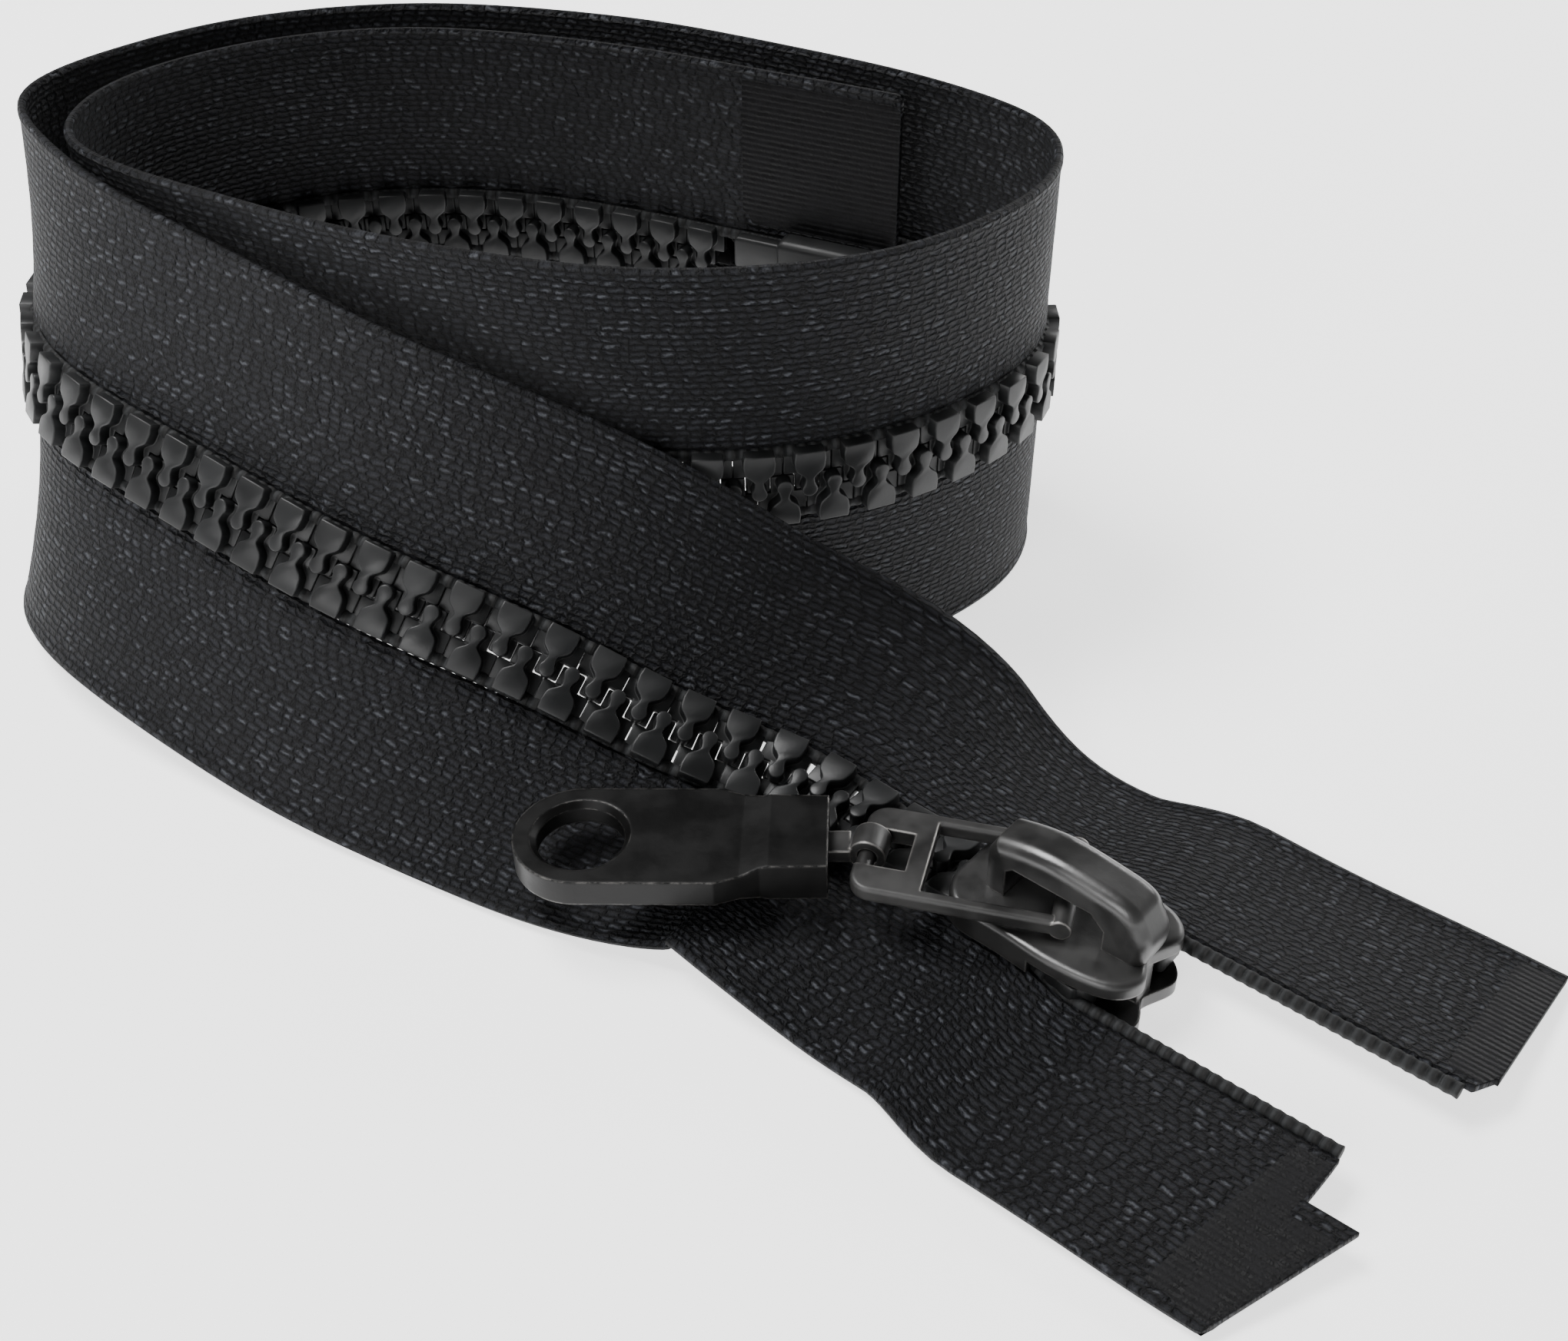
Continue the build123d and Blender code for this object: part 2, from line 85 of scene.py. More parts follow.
# ---- smaller sizes that only the drawn pieces have, mm ----
SAMPLE_COUNT = 2000
TAPE_STEP = 1.0
END_ZONE = 1.6          # stretch at each cut end with stations of its own
CLOSE_STATIONS = (0, 0.06, 0.16, 0.3, 0.5, 0.75, 1.1)
INNER_CORNER = 0.4
OUTER_CORNER = 0.5
RIPPLE_FROM = 5.0
CORD_POINTS = 10
CORD_STEP = 0.4
CORD_RIBS = (0.94, 1.06)
CREASE = 50             # degrees
TOOTH_RIM = 0.07
HEAD_RADIUS = 0.55
HEAD_CENTRE = -0.17
LEDGE_RIM = 0.05
LEDGE_CORNER = 0.15
BAR_RIM = 0.16
BAR_CORNER = 0.4
PIN_INNER = 0.15
STOP_INNER = 0.35
BOX_RIM = 0.45
BOX_CORNER = 0.7
FILM_THICK = 0.04
FILM_MARGIN = 0.05
FILM_COLUMNS = 14
FILM_ROWS = 17
TONE_STEP = 0.618       # spreads the tone of a row's teeth evenly

UPPER = 1
LOWER = -1
NAMES = {UPPER: "upper", LOWER: "lower"}

# ---- route of the chain centre, as in the CAD part ----
# The rolled part stands upright: an oval spiral, skewed a little, whose turns grow outwards.
COIL_HEIGHT = 16.5
COIL_CENTRE = (-12.7, 26.2)
COIL_LONG = 31.7        # half length and half width before the first turn has grown
COIL_WIDE = 14.8
COIL_GROWTH = 5.2       # added to both by each turn
COIL_TILT = -9.5        # the long axis dips to the right
COIL_SKEW = 1.6
COIL_ANGLES = range(75, 536, 20)
STRAIGHT_LEAD = (17.0, 8.5)    # the stiff box and pins keep the inner end straight
# Then it leans over: x, y, z and the lean from upright of upper tape, teeth and lower tape.
FRONT = [(-51.8, 26, 16.7, 10, 5, 0), (-47.8, 16, 17, 22, 20, 20), (-38, 8, 15.5, 25, 30, 40),
         (-24, -0.5, 12.5, 30, 40, 45), (-11, -5, 8.5, 37, 50, 60), (-1, -8, 4.5, 50, 65, 80),
         (6, -10.5, 2.7, 65, 75, 93), (11, -14.6, 2.4, 82, 88, 90)]
# Last it lies flat and straight through the slider: distances from the slider centre.
STRAIGHT = (-7.5, 0, 10, 26)
FLAT_LEAN = (97, 90, 83)


# ---------------------------------------------------------------- route
def natural_slopes(where, values):
    """Slopes of the natural cubic spline through the rows of values."""
    count = len(where)
    step = np.diff(where)
    system = np.zeros((count, count))
    right = np.zeros_like(values)
    rise = np.diff(values, axis=0) / step[:, None]
    system[0, :2] = (2, 1)
    right[0] = 3 * rise[0]
    system[-1, -2:] = (1, 2)
    right[-1] = 3 * rise[-1]
    for i in range(1, count - 1):
        before, after = 1 / step[i - 1], 1 / step[i]
        system[i, i - 1:i + 2] = (before, 2 * (before + after), after)
        right[i] = 3 * (rise[i - 1] * before + rise[i] * after)
    return np.linalg.solve(system, right)


class Curve:
    """Natural cubic spline through knots, by chord length of their first columns."""

    def __init__(self, knots, columns):
        self.knots = np.array(knots, dtype=float)
        gaps = np.linalg.norm(np.diff(self.knots[:, :columns], axis=0), axis=1)
        self.where = np.concatenate([[0], np.cumsum(gaps)])
        self.slopes = natural_slopes(self.where, self.knots)

    def at(self, u):
        i = int(np.clip(np.searchsorted(self.where, u) - 1, 0, len(self.where) - 2))
        step = self.where[i + 1] - self.where[i]
        t = (u - self.where[i]) / step
        a, b = self.knots[i], self.knots[i + 1]
        p, q = self.slopes[i], self.slopes[i + 1]
        values = ((1 + 2 * t) * (1 - t) ** 2 * a + t * (1 - t) ** 2 * step * p
                  + t * t * (3 - 2 * t) * b + t * t * (t - 1) * step * q)
        slope = 6 * t * (t - 1) * (a - b) / step + (1 - t) * (1 - 3 * t) * p + t * (3 * t - 2) * q
        return values, slope


def coil_place(angle):
    """Plan place on the rolled part, angle in degrees from its right-hand side."""
    turn, tilt = math.radians(angle), math.radians(COIL_TILT)
    grown = COIL_GROWTH * angle / 360
    x = (COIL_LONG + grown) * math.cos(turn)
    y = (COIL_WIDE + grown) * math.sin(turn) + COIL_SKEW * math.cos(3 * turn)
    return (COIL_CENTRE[0] + x * math.cos(tilt) - y * math.sin(tilt),
            COIL_CENTRE[1] + x * math.sin(tilt) + y * math.cos(tilt))


def route_knots():
    heading = math.radians(SLIDER_TURN)
    start = np.array(coil_place(COIL_ANGLES[0]))
    back = start - np.array(coil_place(COIL_ANGLES[0] + 1))
    lead = [start + back * d / np.linalg.norm(back) for d in STRAIGHT_LEAD]
    turns = [coil_place(angle) for angle in COIL_ANGLES]
    rolled = [(x, y, COIL_HEIGHT, 0, 0, 0) for x, y in [*lead, *turns]]
    straight = [(SLIDER_AT[0] + d * math.cos(heading), SLIDER_AT[1] + d * math.sin(heading),
                 SLIDER_AT[2], *FLAT_LEAN) for d in STRAIGHT]
    return np.array(rolled + FRONT + straight, dtype=float)


ROUTE = Curve(route_knots(), 3)
SLIDER_KNOT = len(STRAIGHT_LEAD) + len(COIL_ANGLES) + len(FRONT) + STRAIGHT.index(0)
SAMPLES = np.linspace(0, ROUTE.where[-1], SAMPLE_COUNT)
SAMPLE_POINTS = np.array([ROUTE.at(u)[0][:3] for u in SAMPLES])
RUN = np.concatenate([[0], np.cumsum(np.linalg.norm(np.diff(SAMPLE_POINTS, axis=0), axis=1))])
SLIDER_RUN = float(np.interp(ROUTE.where[SLIDER_KNOT], SAMPLES, RUN))


def unit(vector):
    return vector / np.linalg.norm(vector)


def spread(x):
    """Sideways lead of a row and its slope, x from the slider centre."""
    t = min(max((x - SPREAD_START) / SPREAD_LENGTH, 0), 1)
    return SPREAD * t * t * (3 - 2 * t), SPREAD * 6 * t * (1 - t) / SPREAD_LENGTH


def row_frame(s, side):
    """Origin, travel, tooth and tape directions of one row at distance s along the chain."""
    values, slope = ROUTE.at(float(np.interp(s, RUN, SAMPLES)))
    travel = unit(slope[:3])
    up = unit(np.array([0, 0, 1]) - travel * travel[2])
    inward = np.cross(up, travel)
    tape_lean = math.radians(values[3] if side == UPPER else values[5])
    tooth_lean = math.radians(values[4])
    tooth_way = side * (math.cos(tooth_lean) * up + math.sin(tooth_lean) * inward)
    tape_way = side * (math.cos(tape_lean) * up + math.sin(tape_lean) * inward)
    lead, lead_slope = spread(s - SLIDER_RUN)
    origin = values[:3] + lead * tooth_way
    travel_led = unit(travel + lead_slope * tooth_way)
    tooth_led = unit(tooth_way - lead_slope * travel)
    return origin, travel_led, tooth_led, tape_way


# ---------------------------------------------------------------- meshes
def mesh_object(name, points, faces, attributes=None, crease=None):
    """Object from points in mm, with named float attributes on its points."""
    mesh = bpy.data.meshes.new(name)
    mesh.from_pydata([tuple(p * MM) for p in points], [], faces)
    for key, values in (attributes or {}).items():
        layer = mesh.attributes.new(key, "FLOAT", "POINT")
        layer.data.foreach_set("value", np.array(values, dtype=np.float32))
    mesh.shade_smooth()
    if crease is not None:
        mesh.set_sharp_from_angle(angle=math.radians(crease))
    mesh.update()
    piece = bpy.data.objects.new(name, mesh)
    bpy.context.collection.objects.link(piece)
    return piece


def tube_faces(rings, count):
    """Quads between closed rings of count points, and a cap at each end."""
    faces = []
    for i in range(rings - 1):
        for j in range(count):
            a, b = i * count + j, i * count + (j + 1) % count
            faces.append((a, b, b + count, a + count))
    faces.append(tuple(reversed(range(count))))
    faces.append(tuple(range((rings - 1) * count, rings * count)))
    return faces


def end_inset(distance, radius):
    """How far a rounded corner pulls an edge in at this distance from the cut end."""
    if distance >= radius:
        return 0.0
    return radius - math.sqrt(max(radius ** 2 - (radius - distance) ** 2, 0))


def end_stations(first, last, step, fine):
    """Even stations with a few close ones at both ends, where corners are round."""
    opening = [first + c for c in CLOSE_STATIONS]
    closing = [last - c for c in reversed(CLOSE_STATIONS)]
    return opening + list(np.arange(first + fine, last - fine, step)) + closing


# Points across a tape: distance from the chain centre and half thickness there.
TAPE_PROFILE = [(3.0, 0.20), (3.2, 0.27), (4.6, 0.27), (4.9, 0.24), (7.0, 0.25), (9.5, 0.24),
                (12.0, 0.25), (14.5, 0.24), (15.5, 0.24), (15.75, 0.30), (16.05, 0.34),
                (16.35, 0.29), (16.5, 0.14)]


def ripple(s, across):
    """Slight waviness of the soft tape, none near the chain."""
    free = max(across - RIPPLE_FROM, 0) / (TAPE_HALF - RIPPLE_FROM)
    return free * (0.10 * math.sin(s / 7.3) + 0.06 * math.sin(s / 3.1 + 1.0))


def cut_shift(s, side, across):
    """How far the slanting cut moves a point along the tape near its free end."""
    near_end = max(0.0, 1 - (SLIDER_RUN + END_CUT[side] - s) / SLANT_REACH)
    return CUT_SLANT[side] * near_end * (across - TAPE_INNER) / (TAPE_HALF - TAPE_INNER)


def notch_depth(s, side):
    """How far the tape's inner edge steps out past the end of the cord."""
    past = (s - SLIDER_RUN - CORD_CUT[side]) / NOTCH_RAMP
    return NOTCH[side] * min(max(past, 0), 1)


def notch_stations(side):
    """Close stations where the inner edge steps round the end of the cord."""
    start = SLIDER_RUN + CORD_CUT[side]
    return [start + NOTCH_RAMP * share for share in (0.0, 0.15, 0.4, 0.7, 1.0)]


def tape(side):
    """One woven tape, from its inner end to the slanting cut."""
    cut = SLIDER_RUN + END_CUT[side]
    points, along, across_at = [], [], []
    stations = sorted(end_stations(0, cut, TAPE_STEP, END_ZONE) + notch_stations(side))
    ring = [(v, h) for v, h in TAPE_PROFILE] + [(v, -h) for v, h in reversed(TAPE_PROFILE)]
    for s in stations:
        origin, travel, tooth_way, tape_way = row_frame(s, side)
        root = origin + TAPE_INNER * tooth_way
        face = unit(np.cross(travel, tape_way))
        distance = min(s, cut - s)
        low = TAPE_EDGE + max(end_inset(distance, INNER_CORNER), notch_depth(s, side))
        high = TAPE_HALF - end_inset(distance, OUTER_CORNER)
        for v, h in ring:
            across = low + (v - TAPE_EDGE) / (TAPE_HALF - TAPE_EDGE) * (high - low)
            shift = cut_shift(s, side, across)
            points.append(root + (across - TAPE_INNER) * tape_way + (h + ripple(s, v)) * face
                          + shift * travel)
            along.append(s + shift)
            across_at.append(across)
    name = NAMES[side]
    piece = mesh_object(f"woven_tape_{name}", points, tube_faces(len(stations), len(ring)),
                        {"along": along, "across": across_at})
    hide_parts(*[f"tape_{name}_{part}" for part in TAPE_PARTS])
    bend_at_mouth(piece)
    return piece


def bend_at_mouth(piece):
    """Bakes the piece's placement into its points."""
    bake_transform(piece)


def edge_cord(side):
    """Round cord in the tape's inner edge, ribbed by the threads that bind it."""
    cut = SLIDER_RUN + CORD_CUT[side]
    stations = np.arange(0.1, cut - 0.1, CORD_STEP)
    points, along, across_at = [], [], []
    for i, s in enumerate(stations):
        origin, travel, tooth_way, _ = row_frame(s, side)
        face = np.cross(travel, tooth_way)
        centre = origin + CORD_CENTRE * tooth_way
        radius = CORD_RADIUS * CORD_RIBS[i % 2]
        for j in range(CORD_POINTS):
            turn = 2 * math.pi * j / CORD_POINTS
            points.append(centre + radius * (math.sin(turn) * tooth_way + math.cos(turn) * face))
            along.append(s)
            across_at.append(CORD_CENTRE)
    name = NAMES[side]
    piece = mesh_object(f"bound_cord_{name}", points, tube_faces(len(stations), CORD_POINTS),
                        {"along": along, "across": across_at})
    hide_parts(f"cord_{name}", f"cord_{name}_end")
    bend_at_mouth(piece)
    return piece


def inset_outline(outline, amount):
    """Outline with every corner moved inwards by the amount."""
    shape = np.array(outline)
    before = np.roll(shape, 1, axis=0)
    after = np.roll(shape, -1, axis=0)
    way = after - before
    normal = np.stack([-way[:, 1], way[:, 0]], axis=1)
    normal /= np.linalg.norm(normal, axis=1)[:, None]
    return shape + amount * normal


def soft_block(outline, half, soft):
    """Points and faces of a block with rounded rims: outline in (across, along), mm."""
    part_way = 0.3 * soft
    levels = [(-half, soft), (-half + part_way, part_way), (-half + soft, 0),
              (half - soft, 0), (half - part_way, part_way), (half, soft)]
    points = []
    for height, amount in levels:
        points += [(v, t, height) for v, t in inset_outline(outline, amount)]
    return points, tube_faces(len(levels), len(outline))


def joined(blocks):
    """Several blocks as one list of points and faces."""
    points, faces = [], []
    for shape, sides in blocks:
        faces += [tuple(len(points) + i for i in face) for face in sides]
        points += shape
    return points, faces


def rows_of(block, places, side):
    """One mesh of the block at every place along a row."""
    shape, faces = block
    points, all_faces, which = [], [], []
    for number, s in enumerate(places):
        origin, travel, tooth_way, _ = row_frame(s, side)
        normal = np.cross(tooth_way, travel)
        base = len(points)
        points += [origin + v * tooth_way + t * travel + n * normal for v, t, n in shape]
        all_faces += [tuple(base + i for i in face) for face in faces]
        which += [math.modf(number * TONE_STEP)[0]] * len(shape)
    return points, all_faces, {"which": which}


def tooth_outline():
    """Head, neck and shoulders of a tooth, counter-clockwise in (across, along)."""
    side = [(2.85, 0.98), (2.8, 1.05), (2.2, 1.12), (1.6, 1.05), (1.4, 0.97), (1.25, 0.85),
            (1.1, 0.66), (0.95, 0.48), (0.82, 0.36), (0.68, 0.30), (0.42, 0.34), (0.18, 0.42)]
    head = [(HEAD_CENTRE + HEAD_RADIUS * math.cos(a), HEAD_RADIUS * math.sin(a))
            for a in np.radians(np.linspace(65, 295, 11))]
    return side + head + [(v, -t) for v, t in reversed(side)]


def tooth_ledges():
    """Thin ridges at mid height that lock a tooth between its neighbours."""
    root = bar_outline(0.7, 2.3, PITCH - LEDGE_GAP, LEDGE_CORNER)
    tip = bar_outline(-0.6, 0.8, PITCH / 2 - LEDGE_GAP, LEDGE_CORNER)
    return [soft_block(outline, LEDGE_HALF, LEDGE_RIM) for outline in (root, tip)]


def bar_outline(inner, outer, length, corner):
    """Rectangle with round corners, counter-clockwise in (across, along)."""
    points = []
    middle, half = (inner + outer) / 2, (outer - inner) / 2 - corner
    reach = length / 2 - corner
    for i, (a, b) in enumerate([(1, 1), (-1, 1), (-1, -1), (1, -1)]):
        for k in range(4):
            turn = math.radians(90 * i + 30 * k)
            points.append((middle + a * half + corner * math.cos(turn),
                           b * reach + corner * math.sin(turn)))
    return points


def tooth_places(side):
    last = LAST_UPPER_TOOTH if side == UPPER else LAST_UPPER_TOOTH - PITCH / 2
    count = int((SLIDER_RUN + last - FIRST_TOOTH) / PITCH) + 1
    return [SLIDER_RUN + last - PITCH * i for i in range(count)]


def tooth_row(side, in_slider):
    border = SLIDER_RUN + IN_SLIDER_FROM
    places = [s for s in tooth_places(side) if (s > border) == in_slider]
    shapes = [soft_block(tooth_outline(), TOOTH_HALF, TOOTH_RIM)] + tooth_ledges()
    points, faces, facts = rows_of(joined(shapes), places, side)
    node = f"teeth_{NAMES[side]}" + ("_in_slider" if in_slider else "")
    piece = mesh_object(f"moulded_{node}", points, faces, facts, crease=CREASE)
    return finish_moulding(piece, node)


def finish_moulding(piece, node):
    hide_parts(node)
    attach(piece, "chain")
    return piece


def moulded_bar(node, inner, first, last, side):
    block = soft_block(bar_outline(inner, ROW_HALF, last - first, BAR_CORNER), TOOTH_HALF, BAR_RIM)
    points, faces, facts = rows_of(block, [(first + last) / 2], side)
    piece = mesh_object(f"moulded_{node}", points, faces, facts, crease=CREASE)
    return finish_moulding(piece, node)


def retainer_box():
    """One closed block; the pins run into it from the chain side."""
    outline = bar_outline(-BOX_HALF, BOX_HALF, BOX_LENGTH, BOX_CORNER)
    block = soft_block(outline, BOX_THICK / 2, BOX_RIM)
    points, faces, facts = rows_of(block, [BOX_START + BOX_LENGTH / 2], UPPER)
    piece = mesh_object("moulded_retainer_box", points, faces, facts, crease=CREASE)
    return finish_moulding(piece, "retainer_box")


def film(node, side, first, last, inner, body):
    """Film melted onto both faces of a tape: a thin skin that runs out at its border."""
    count = FILM_COLUMNS
    points, faces, facts = [], [], {"along": [], "across": []}
    for face_side in (1, -1):
        base = len(points)
        inside = [s for s in notch_stations(side) if first < s < last]
        stations = sorted([*np.linspace(first, last, FILM_ROWS), *inside])
        for s in stations:
            origin, travel, tooth_way, tape_way = row_frame(s, side)
            root = origin + TAPE_INNER * tooth_way
            face = unit(np.cross(travel, tape_way))
            low = max(inner, TAPE_INNER + notch_depth(s, side))
            for j in range(count):
                v = low + (TAPE_HALF - FILM_MARGIN - low) * j / (count - 1)
                half = float(np.interp(v, *zip(*TAPE_PROFILE)))
                edge = 0.0 if j in (0, count - 1) or s in (first, last) else FILM_THICK
                lift = ripple(s, v) + face_side * (half + edge)
                shift = cut_shift(s, side, v)
                points.append(root + (v - TAPE_INNER) * tape_way + lift * face + shift * travel)
                facts["along"].append(s + shift)
                facts["across"].append(v)
        for i in range(len(stations) - 1):
            for j in range(count - 1):
                a = base + i * count + j
                quad = (a, a + 1, a + count + 1, a + count)
                faces.append(quad if face_side < 0 else tuple(reversed(quad)))
    piece = mesh_object(f"smooth_{node}", points, faces, facts)
    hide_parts(node)
    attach(piece, body)
    return piece


# ---------------------------------------------------------------- materials
STITCH_LONG = 0.95      # thread floats of the weave, mm
STITCH_WIDE = 0.46


class Shader:
    """Small helper that adds nodes to one material."""

    def __init__(self, name):
        self.material = bpy.data.materials.new(name)
        self.material.use_nodes = True
        self.tree = self.material.node_tree
        self.base = self.tree.nodes["Principled BSDF"]

    def plug(self, socket, value):
        if isinstance(value, bpy.types.NodeSocket):
            self.tree.links.new(value, socket)
        elif value is not None:
            socket.default_value = value

    def math(self, operation, *values):
        node = self.tree.nodes.new("ShaderNodeMath")
        node.operation = operation
        for socket, value in zip(node.inputs, values):
            self.plug(socket, value)
        return node.outputs[0]

    def attribute(self, name):
        node = self.tree.nodes.new("ShaderNodeAttribute")
        node.attribute_name = name
        return node.outputs["Fac"]

    def place(self):
        return self.tree.nodes.new("ShaderNodeTexCoord").outputs["Object"]

    def vector(self, x, y, z):
        node = self.tree.nodes.new("ShaderNodeCombineXYZ")
        for socket, value in zip(node.inputs, (x, y, z)):
            self.plug(socket, value)
        return node.outputs[0]

    def noise(self, where, scale, detail=3.0, roughness=0.55):
        node = self.tree.nodes.new("ShaderNodeTexNoise")
        self.plug(node.inputs["Vector"], where)
        node.inputs["Scale"].default_value = scale
        node.inputs["Detail"].default_value = detail
        node.inputs["Roughness"].default_value = roughness
        return node.outputs["Fac"]

    def band(self, value, low, high, start=0.0, end=1.0):
        """Value mapped from low..high to start..end and held there."""
        node = self.tree.nodes.new("ShaderNodeMapRange")
        node.interpolation_type = "SMOOTHSTEP"
        for socket, number in zip(node.inputs, (value, low, high, start, end)):
            self.plug(socket, number)
        return node.outputs[0]

    def mix(self, share, dark, light):
        node = self.tree.nodes.new("ShaderNodeMix")
        node.data_type = "RGBA"
        self.plug(node.inputs["Factor"], share)
        self.plug(node.inputs["A"], dark)
        self.plug(node.inputs["B"], light)
        return node.outputs["Result"]

    def bump(self, height, distance, strength=1.0, after=None):
        node = self.tree.nodes.new("ShaderNodeBump")
        node.inputs["Distance"].default_value = distance
        node.inputs["Strength"].default_value = strength
        self.plug(node.inputs["Height"], height)
        self.plug(node.inputs["Normal"], after)
        return node.outputs[0]

    def edge_wear_and_highlight(self, radius):
        """1 on sharp edges, 0 on flats, from the difference of a rounded normal."""
        # The teeth use this mask for a painted edge highlight, the castings for real worn edges.
        bevel = self.tree.nodes.new("ShaderNodeBevel")
        bevel.samples = 6
        bevel.inputs["Radius"].default_value = radius
        geometry = self.tree.nodes.new("ShaderNodeNewGeometry")
        dot = self.tree.nodes.new("ShaderNodeVectorMath")
        dot.operation = "DOT_PRODUCT"
        self.plug(dot.inputs[0], bevel.outputs[0])
        self.plug(dot.inputs[1], geometry.outputs["True Normal"])
        return self.band(dot.outputs["Value"], 0.995, 0.88), bevel.outputs[0]

    def set(self, **values):
        for key, value in values.items():
            self.plug(self.base.inputs[key.replace("_", " ")], value)
        return self.material


def grey(value, warm=0.0):
    return (value * (1 + warm), value, value * (1 - warm), 1.0)


def weave_material():
    """Rows of short uneven stitches: dark gaps of painted shade, dim threads and a few stitch tops
    with a painted highlight.
    """
    shader = Shader("black_weave")
    along, across = shader.attribute("along"), shader.attribute("across")
    where = shader.vector(along, across, 0.0)
    drift = shader.math("SUBTRACT", shader.noise(where, 1.3), 0.5)
    wale = shader.math("DIVIDE", shader.math("ADD", across, shader.math("MULTIPLY", drift, 0.5)),
                       STITCH_WIDE)
    row = shader.math("FLOOR", wale)
    shift = shader.tree.nodes.new("ShaderNodeTexWhiteNoise")
    shift.noise_dimensions = "1D"
    shader.plug(shift.inputs["W"], row)
    slide = shader.math("ADD", shader.math("DIVIDE", along, STITCH_LONG),
                        shader.math("MULTIPLY", drift, 1.6))
    stitch = shader.math("ADD", slide, shift.outputs["Value"])
    high = shader.math("SINE", shader.math("MULTIPLY", shader.math("FRACT", wale), math.pi))
    wide = shader.math("SINE", shader.math("MULTIPLY", shader.math("FRACT", stitch), math.pi))
    hill = shader.math("MULTIPLY", shader.math("POWER", high, 0.8), shader.math("POWER", wide, 0.6))
    fibre = shader.noise(where, 6.0, 4.0)
    cell = shader.tree.nodes.new("ShaderNodeTexWhiteNoise")
    cell.noise_dimensions = "2D"
    shader.plug(cell.inputs["Vector"], shader.vector(row, shader.math("FLOOR", stitch), 0.0))
    lift = shader.band(cell.outputs["Value"], 0.0, 1.0, 0.55, 1.0)
    height = shader.math("ADD", shader.math("MULTIPLY", hill, lift),
                         shader.math("MULTIPLY", fibre, 0.6))
    # Painted highlight: a light glint on the tops of a few randomly chosen stitches, where light would
    # catch.
    bright = shader.math("MULTIPLY", shader.band(cell.outputs["Value"], 0.55, 1.0),
                         shader.band(height, 0.95, 1.4))
    # Painted shade: the colour follows the thread relief, dark in the gaps between stitches and
    # lighter on their tops; the random lift of each stitch adds real tone.
    body = shader.mix(shader.band(height, 0.3, 1.3), (0.002, 0.002, 0.0024, 1.0),
                      (0.017, 0.018, 0.022, 1.0))
    colour = shader.mix(bright, body, (0.070, 0.074, 0.084, 1.0))
    return shader.set(Base_Color=colour, Roughness=0.66, Specular_IOR_Level=0.22,
                      Normal=shader.bump(height, 0.00032, 1.0))


def cord_material():
    shader = Shader("black_cord")
    along, across = shader.attribute("along"), shader.attribute("across")
    rib = shader.math("SINE", shader.math("MULTIPLY", along, 2 * math.pi / 0.8))
    fibre = shader.noise(shader.vector(along, across, 0.0), 9.0, 4.0)
    height = shader.math("ADD", rib, fibre)
    # Painted shade: the colour follows the ribs, darker in the grooves between them and lighter on
    # their crests.
    colour = shader.mix(shader.band(rib, -1.0, 1.0), grey(0.003), grey(0.018, -0.06))
    return shader.set(Base_Color=colour, Roughness=0.7, Specular_IOR_Level=0.35,
                      Normal=shader.bump(height, 0.00008))


def film_material():
    """Melted film: as dark as the weave, whose ribs still show faintly through it, as bumps and as
    faint painted shade.
    """
    shader = Shader("melted_film")
    along, across = shader.attribute("along"), shader.attribute("across")
    where = shader.vector(along, across, 0.0)
    cloud = shader.noise(where, 0.8, 4.0)
    ribs = shader.math("SINE", shader.math("MULTIPLY", across, 2 * math.pi / STITCH_WIDE))
    fine = shader.noise(where, 5.0, 3.0)
    height = shader.math("ADD", shader.math("MULTIPLY", ribs, 0.35), fine)
    # The ribs' share of the colour is faint painted shade: darker between the ribs, lighter on them.
    colour = shader.mix(shader.band(shader.math("ADD", cloud, shader.math("MULTIPLY", ribs, 0.06)),
                                    0.3, 0.75),
                        (0.002, 0.002, 0.0024, 1.0), (0.008, 0.008, 0.009, 1.0))
    return shader.set(Base_Color=colour, Roughness=shader.band(cloud, 0.3, 0.7, 0.45, 0.62),
                      Specular_IOR_Level=0.15, Normal=shader.bump(height, 0.00006))


def tooth_material():
    """Moulded polymer: fine sanded face, a slightly different grey from tooth to tooth."""
    shader = Shader("moulded_teeth")
    where = shader.place()
    fine = shader.noise(where, 4200.0, 3.0)
    mottled = shader.noise(where, 260.0, 3.0)
    edge, rounded = shader.edge_wear_and_highlight(0.00012)
    tone = shader.math("ADD", shader.math("MULTIPLY", shader.attribute("which"), 0.45),
                       shader.math("MULTIPLY", mottled, 0.55))
    face = shader.mix(tone, grey(0.005, -0.03), grey(0.014, -0.05))
    # Painted highlight: the tooth rims are mixed towards a lighter grey, as if catching light.
    colour = shader.mix(shader.math("MULTIPLY", edge, 0.4), face, grey(0.06))
    return shader.set(Base_Color=colour, Roughness=shader.band(mottled, 0.3, 0.7, 0.36, 0.5),
                      Specular_IOR_Level=0.35, Normal=shader.bump(fine, 0.00001, 0.6, rounded))


